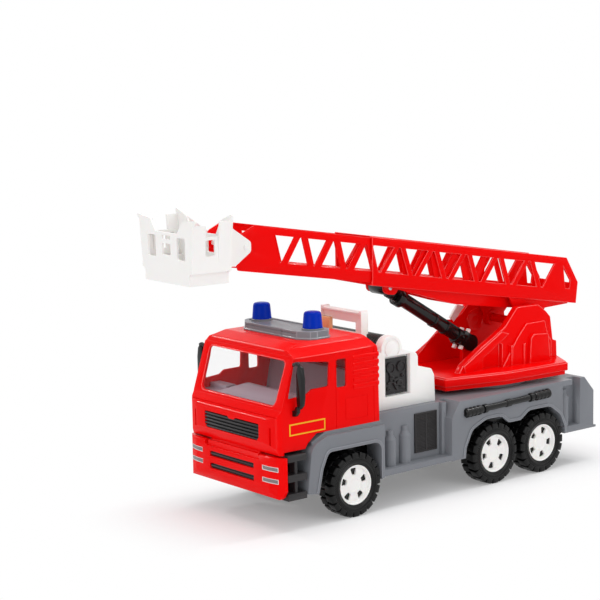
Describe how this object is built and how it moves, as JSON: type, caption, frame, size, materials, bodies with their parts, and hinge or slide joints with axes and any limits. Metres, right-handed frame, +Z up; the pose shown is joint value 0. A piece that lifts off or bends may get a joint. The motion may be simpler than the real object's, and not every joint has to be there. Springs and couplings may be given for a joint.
{
  "type": "toy fire engine",
  "caption": "Toy fire engine with freely turning wheels, a swivelling turntable, a raising and sliding lattice ladder and a tilting basket.",
  "frame": {"origin": "centre of the bounding box in plan, at the ground", "axes": "+X forward towards the cab, +Y towards the vehicle's left, +Z up"},
  "size_m": [0.5773, 0.19, 0.3392],
  "materials": {
    "red_plastic": "glossy moulded",
    "grey_plastic": "semi-gloss moulded",
    "black_plastic": "satin moulded",
    "white_plastic": "glossy moulded",
    "blue_plastic": "glossy moulded",
    "dark_plastic": "satin moulded",
    "tyre_plastic": "satin",
    "lamp_chrome": "bright",
    "axle_steel": "plain",
    "plate_print": "printed border",
    "cab_inside": "satin moulded",
    "clear_pane": "clear"
  },
  "bodies": {
    "truck": {"chassis_body": "grey_plastic", "underframe": "black_plastic", "cab_shell": "red_plastic", "cab_interior": "cab_inside", "cab_glazing": "clear_pane", "grille": "dark_plastic", "bumper": "red_plastic", "bumper_slats": "dark_plastic", "headlamps": "lamp_chrome", "light_bar": "grey_plastic", "beacon_left": "blue_plastic", "beacon_right": "blue_plastic", "mirror_left": "black_plastic", "mirror_right": "black_plastic", "steps_left": "dark_plastic", "steps_right": "dark_plastic", "plate_left": "plate_print", "plate_right": "plate_print", "pump_housing": "white_plastic", "panel_left": "dark_plastic", "panel_right": "dark_plastic", "hose_reel": "black_plastic", "ladder_rest": "white_plastic", "louvre_left": "dark_plastic", "louvre_right": "dark_plastic", "nozzle_left": "black_plastic", "nozzle_right": "black_plastic"},
    "wheels_front": {"axle_front": "axle_steel", "hub_front_left": "white_plastic", "hub_front_right": "white_plastic", "tyre_front_left": "tyre_plastic", "tyre_front_right": "tyre_plastic"},
    "wheels_mid": {"axle_mid": "axle_steel", "hub_mid_left": "white_plastic", "hub_mid_right": "white_plastic", "tyre_mid_left": "tyre_plastic", "tyre_mid_right": "tyre_plastic"},
    "wheels_rear": {"axle_rear": "axle_steel", "hub_rear_left": "white_plastic", "hub_rear_right": "white_plastic", "tyre_rear_left": "tyre_plastic", "tyre_rear_right": "tyre_plastic"},
    "turntable": {"turntable_deck": "red_plastic", "tower_left": "red_plastic", "tower_right": "red_plastic", "swivel_retainer": "black_plastic", "lift_pin": "red_plastic", "ram_pin_low": "axle_steel"},
    "lower_ladder": {"base_ladder": "red_plastic", "base_rail_left": "red_plastic", "base_rail_right": "red_plastic", "ram_pin_top": "axle_steel"},
    "upper_ladder": {"fly_ladder": "red_plastic", "fly_rail_left": "red_plastic", "fly_rail_right": "red_plastic", "basket_pin": "white_plastic"},
    "basket": {"basket": "white_plastic"},
    "ram_barrel": {"cylinder_barrel": "black_plastic"},
    "ram_rod": {"cylinder_rod": "black_plastic"}
  },
  "joints": [
    {"name": "axle_front_turn", "type": "hinge", "parent": "truck", "child": "wheels_front", "pos_m": [0.1168, 0, 0.036], "axis": [0, 1, 0], "continuous": true},
    {"name": "axle_mid_turn", "type": "hinge", "parent": "truck", "child": "wheels_mid", "pos_m": [-0.0972, 0, 0.036], "axis": [0, 1, 0], "continuous": true},
    {"name": "axle_rear_turn", "type": "hinge", "parent": "truck", "child": "wheels_rear", "pos_m": [-0.1759, 0, 0.036], "axis": [0, 1, 0], "continuous": true},
    {"name": "turntable_swivel", "type": "hinge", "parent": "truck", "child": "turntable", "pos_m": [-0.1482, 0, 0.111], "axis": [0, 0, 1], "continuous": true},
    {"name": "ladder_lift", "type": "hinge", "parent": "turntable", "child": "lower_ladder", "pos_m": [-0.20314, 0.00259, 0.172], "axis": [-0.0471, -0.9989, 0], "range_deg": [-3, 30]},
    {"name": "ladder_extend", "type": "slide", "parent": "lower_ladder", "child": "upper_ladder", "axis": [0.9852, -0.0465, 0.165], "range_m": [0, 0.11]},
    {"name": "basket_tilt", "type": "hinge", "parent": "upper_ladder", "child": "basket", "pos_m": [0.20795, -0.0168, 0.30054], "axis": [0.0471, 0.9989, 0], "range_deg": [-12, 75]},
    {"name": "ram_pivot", "type": "hinge", "parent": "turntable", "child": "ram_barrel", "pos_m": [-0.13422, -0.00066, 0.1528], "axis": [-0.0471, -0.9989, 0], "range_deg": [-5, 37]},
    {"name": "ram_extend", "type": "slide", "parent": "ram_barrel", "child": "ram_rod", "axis": [0.8505, -0.0401, 0.5245], "range_m": [-0.0042, 0.0332]}
  ],
  "couplings": [
    {"joint": "ram_pivot", "follows": "ladder_lift", "ratio": 1.195},
    {"joint": "ram_extend", "follows": "ladder_lift", "m_per_rad": 0.0615}
  ]
}
